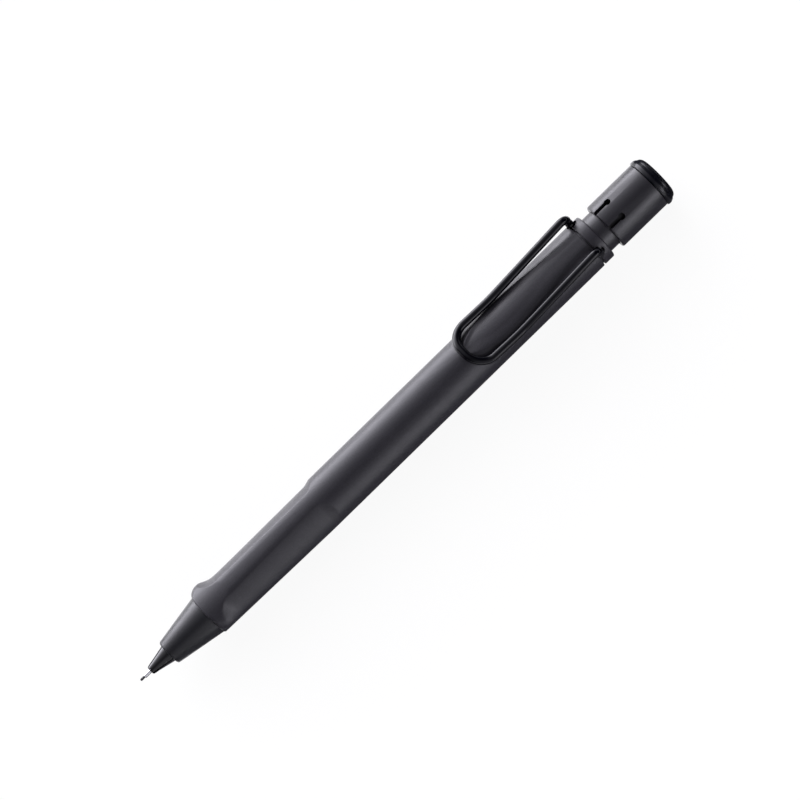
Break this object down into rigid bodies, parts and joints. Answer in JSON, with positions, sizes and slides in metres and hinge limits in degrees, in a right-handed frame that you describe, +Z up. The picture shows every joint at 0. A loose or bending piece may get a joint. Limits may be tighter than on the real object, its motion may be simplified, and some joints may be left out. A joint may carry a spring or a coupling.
{
  "type": "mechanical pencil",
  "caption": "push-button mechanical pencil with a faceted grip, finger lips, a slotted push cap and a bent-wire pocket clip",
  "frame": {"origin": "under the middle of the pencil's length, on the surface that it lies on with its clip up", "axes": "+X along the pencil towards the button, +Y across it, +Z up through the clip"},
  "size_m": [0.1396, 0.0112, 0.0126],
  "materials": {
    "charcoal": "fine satin texture, charcoal ABS",
    "satin_black": "satin black",
    "gloss_black": "gloss black",
    "black_wire": "black coated spring steel wire",
    "steel": "drawn bright steel",
    "brass": "turned brass",
    "graphite": "polymer-bound graphite lead",
    "rubber": "black rubber",
    "eraser": "white vinyl eraser",
    "moulding": "grey moulded plastic"
  },
  "bodies": {
    "barrel": {"barrel": "charcoal", "nose_cone": "satin_black", "tip_cone": "gloss_black", "guide_pipe": "steel", "lead_brake": "rubber", "cartridge_sleeve": "moulding", "return_spring": "steel", "collar": "charcoal"},
    "lead": {"lead": "graphite"},
    "chuck_ring": {"chuck_ring": "brass"},
    "pusher": {"plunger": "charcoal", "lead_tube": "moulding", "chuck_coupler": "moulding", "chuck": "brass", "spare_lead_1": "graphite", "spare_lead_2": "graphite", "spare_lead_3": "graphite", "needle_plug": "moulding", "cleaning_needle": "steel", "eraser": "eraser"},
    "cap": {"pusher_cap": "charcoal", "end_button": "gloss_black"},
    "clip": {"clip": "black_wire"}
  },
  "joints": [
    {"name": "pusher_slide", "type": "slide", "parent": "barrel", "child": "pusher", "axis": [-1, 0, 0], "range_m": [0, 0.002], "stiffness_N_per_m": 800, "springref_m": -0.004, "deforming": ["return_spring"]},
    {"name": "ring_slide", "type": "slide", "parent": "barrel", "child": "chuck_ring", "axis": [-1, 0, 0], "range_m": [0, 0.0007]},
    {"name": "lead_feed", "type": "slide", "parent": "barrel", "child": "lead", "axis": [-1, 0, 0], "range_m": [-0.00106, 0.01]},
    {"name": "cap_pull", "type": "slide", "parent": "pusher", "child": "cap", "axis": [1, 0, 0], "range_m": [0, 0.014]},
    {"name": "clip_flex", "type": "hinge", "parent": "barrel", "child": "clip", "pos_m": [0.0509, 0, 0.00935], "axis": [0, 1, 0], "range_deg": [0, 6], "stiffness_Nm_per_rad": 2, "springref_deg": -2.64}
  ],
  "couplings": [
    {"joint": "ring_slide", "follows": "pusher_slide", "ratio": 0.35}
  ]
}
